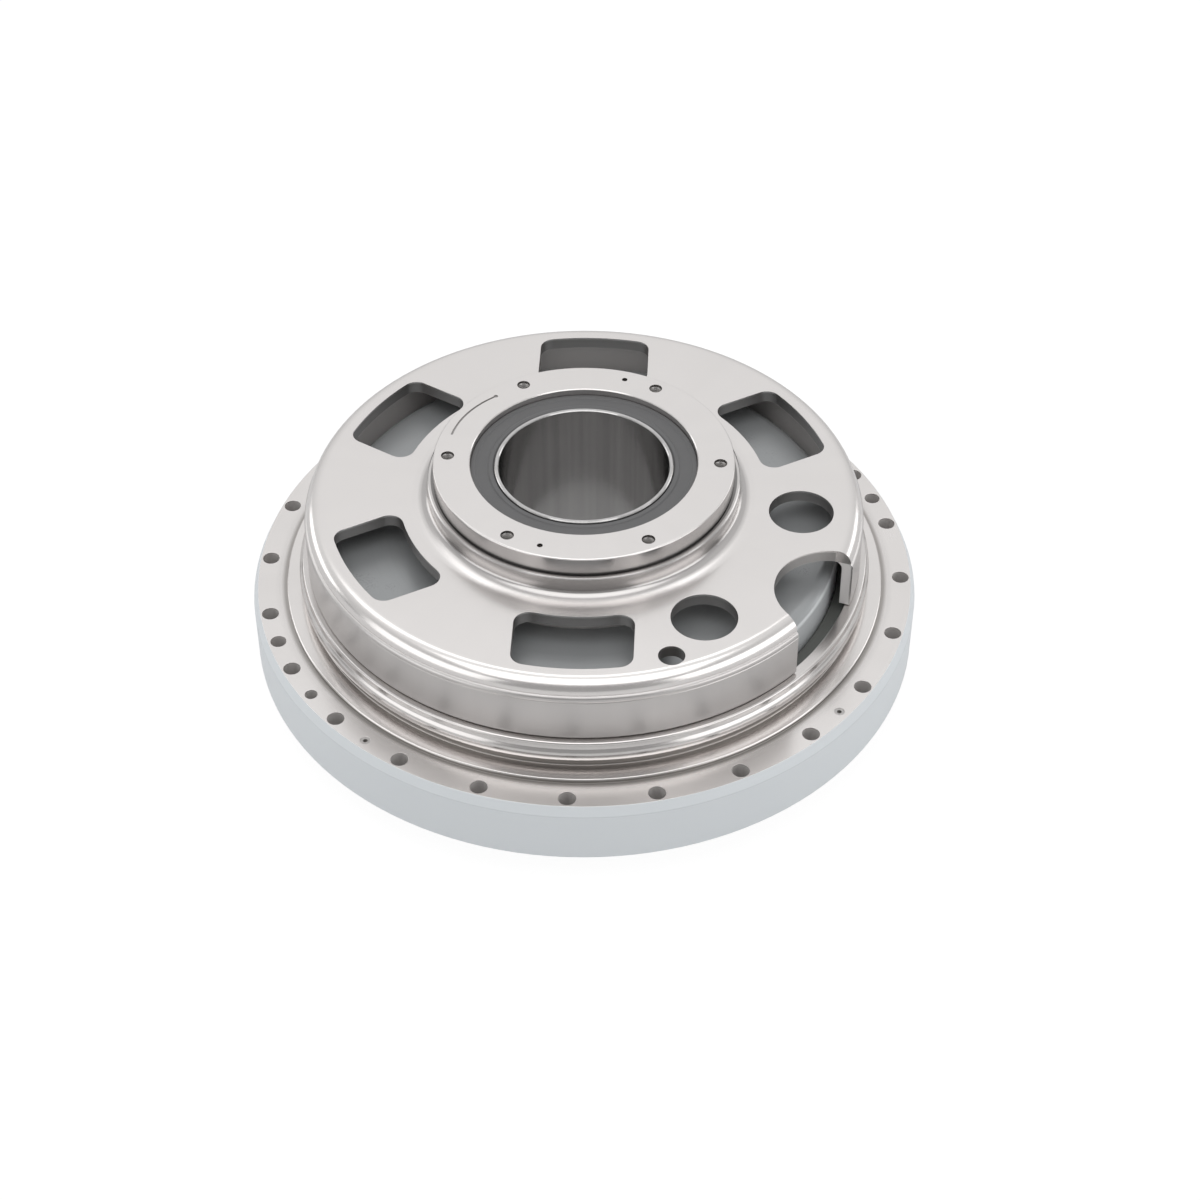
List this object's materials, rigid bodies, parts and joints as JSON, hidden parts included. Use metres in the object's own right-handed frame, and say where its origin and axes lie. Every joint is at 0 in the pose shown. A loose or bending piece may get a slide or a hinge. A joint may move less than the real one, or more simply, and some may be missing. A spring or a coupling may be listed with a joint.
{
  "type": "cycloidal reducer",
  "caption": "Hollow-shaft cycloidal reducer with a bolting flange, a windowed turning cover, an output hub and a centre tube.",
  "frame": {"origin": "on the main axis, at the rim of the rear spigot that the reducer stands on", "axes": "+Z along the main axis, out of the output hub; +X through the first crank"},
  "size_m": [0.44, 0.44, 0.1567],
  "materials": {
    "case_iron": "machined top, pale painted rim",
    "plug_steel": "satin",
    "bearing_steel": "ground",
    "cage_brass": "satin",
    "seal_rubber": "matt",
    "hub_seal_rubber": "satin",
    "cover_steel": "fine turned, satin",
    "drum_iron": "dark phosphated, turned",
    "bolt_steel": "black oxide",
    "dowel_steel": "ground",
    "pipe_steel": "drawn, polished rim",
    "gear_steel": "hobbed and ground"
  },
  "bodies": {
    "case": {"case_flange": "case_iron", "grease_plugs": "plug_steel", "ring_pins": "bearing_steel", "upper_outer_race": "bearing_steel", "lower_outer_race": "bearing_steel", "main_oil_seal": "seal_rubber"},
    "upper_ball_set": {"upper_balls": "bearing_steel", "upper_ball_cage": "cage_brass"},
    "lower_ball_set": {"lower_balls": "bearing_steel", "lower_ball_cage": "cage_brass"},
    "carrier": {"output_cover": "cover_steel", "front_carrier": "drum_iron", "rear_carrier": "drum_iron", "upper_inner_race": "bearing_steel", "lower_inner_race": "bearing_steel", "carrier_bolts": "bolt_steel", "carrier_dowels": "dowel_steel", "cover_screws": "bolt_steel", "centre_pipe": "pipe_steel", "hub_seal": "hub_seal_rubber", "crank_bearing_cups": "bearing_steel", "cup_retaining_rings": "bolt_steel", "gear_bearing_inner_race": "bearing_steel", "pipe_snap_ring": "bolt_steel"},
    "crank_1": {"crankshaft_1": "gear_steel", "crank_cones_1": "bearing_steel", "taper_rollers_1": "bearing_steel", "needle_rollers_1": "bearing_steel", "spur_gear_1": "gear_steel", "tail_snap_ring_1": "bolt_steel"},
    "crank_2": {"crankshaft_2": "gear_steel", "crank_cones_2": "bearing_steel", "taper_rollers_2": "bearing_steel", "needle_rollers_2": "bearing_steel", "spur_gear_2": "gear_steel", "tail_snap_ring_2": "bolt_steel"},
    "crank_3": {"crankshaft_3": "gear_steel", "crank_cones_3": "bearing_steel", "taper_rollers_3": "bearing_steel", "needle_rollers_3": "bearing_steel", "spur_gear_3": "gear_steel", "tail_snap_ring_3": "bolt_steel"},
    "lower_disc": {"lower_cycloid_disc": "gear_steel"},
    "upper_disc": {"upper_cycloid_disc": "gear_steel"},
    "centre_gear": {"centre_gear": "gear_steel", "gear_bearing_outer_race": "bearing_steel"},
    "gear_ball_set": {"gear_bearing_balls": "bearing_steel"}
  },
  "joints": [
    {"name": "centre_gear_spin", "type": "hinge", "parent": "carrier", "child": "centre_gear", "pos_m": [0, 0, 0.0075], "axis": [0, 0, 1], "continuous": true},
    {"name": "carrier_turn", "type": "hinge", "parent": "case", "child": "carrier", "pos_m": [0, 0, 0.106], "axis": [0, 0, 1], "continuous": true},
    {"name": "upper_balls_turn", "type": "hinge", "parent": "case", "child": "upper_ball_set", "pos_m": [0, 0, 0.0645], "axis": [0, 0, 1], "continuous": true},
    {"name": "lower_balls_turn", "type": "hinge", "parent": "case", "child": "lower_ball_set", "pos_m": [0, 0, 0.0205], "axis": [0, 0, 1], "continuous": true},
    {"name": "gear_balls_spin", "type": "hinge", "parent": "carrier", "child": "gear_ball_set", "pos_m": [0, 0, 0.0075], "axis": [0, 0, 1], "continuous": true},
    {"name": "crank_1_spin", "type": "hinge", "parent": "carrier", "child": "crank_1", "pos_m": [0.105, 0, 0.04275], "axis": [0, 0, 1], "continuous": true},
    {"name": "crank_2_spin", "type": "hinge", "parent": "carrier", "child": "crank_2", "pos_m": [-0.0525, 0.09093, 0.04275], "axis": [0, 0, 1], "continuous": true},
    {"name": "crank_3_spin", "type": "hinge", "parent": "carrier", "child": "crank_3", "pos_m": [-0.0525, -0.09093, 0.04275], "axis": [0, 0, 1], "continuous": true},
    {"name": "lower_disc_orbit", "type": "hinge", "parent": "crank_1", "child": "lower_disc", "pos_m": [0.1075, 0, 0.0345], "axis": [0, 0, 1], "continuous": true},
    {"name": "upper_disc_orbit", "type": "hinge", "parent": "crank_1", "child": "upper_disc", "pos_m": [0.1025, 0, 0.05], "axis": [0, 0, 1], "continuous": true}
  ],
  "couplings": [
    {"joint": "carrier_turn", "follows": "centre_gear_spin", "ratio": 0.0625},
    {"joint": "upper_balls_turn", "follows": "centre_gear_spin", "ratio": 0.030457},
    {"joint": "lower_balls_turn", "follows": "centre_gear_spin", "ratio": 0.030457},
    {"joint": "gear_balls_spin", "follows": "centre_gear_spin", "ratio": 0.51378},
    {"joint": "crank_1_spin", "follows": "centre_gear_spin", "ratio": -2.5},
    {"joint": "crank_2_spin", "follows": "centre_gear_spin", "ratio": -2.5},
    {"joint": "crank_3_spin", "follows": "centre_gear_spin", "ratio": -2.5},
    {"joint": "lower_disc_orbit", "follows": "centre_gear_spin", "ratio": 2.5},
    {"joint": "upper_disc_orbit", "follows": "centre_gear_spin", "ratio": 2.5}
  ]
}
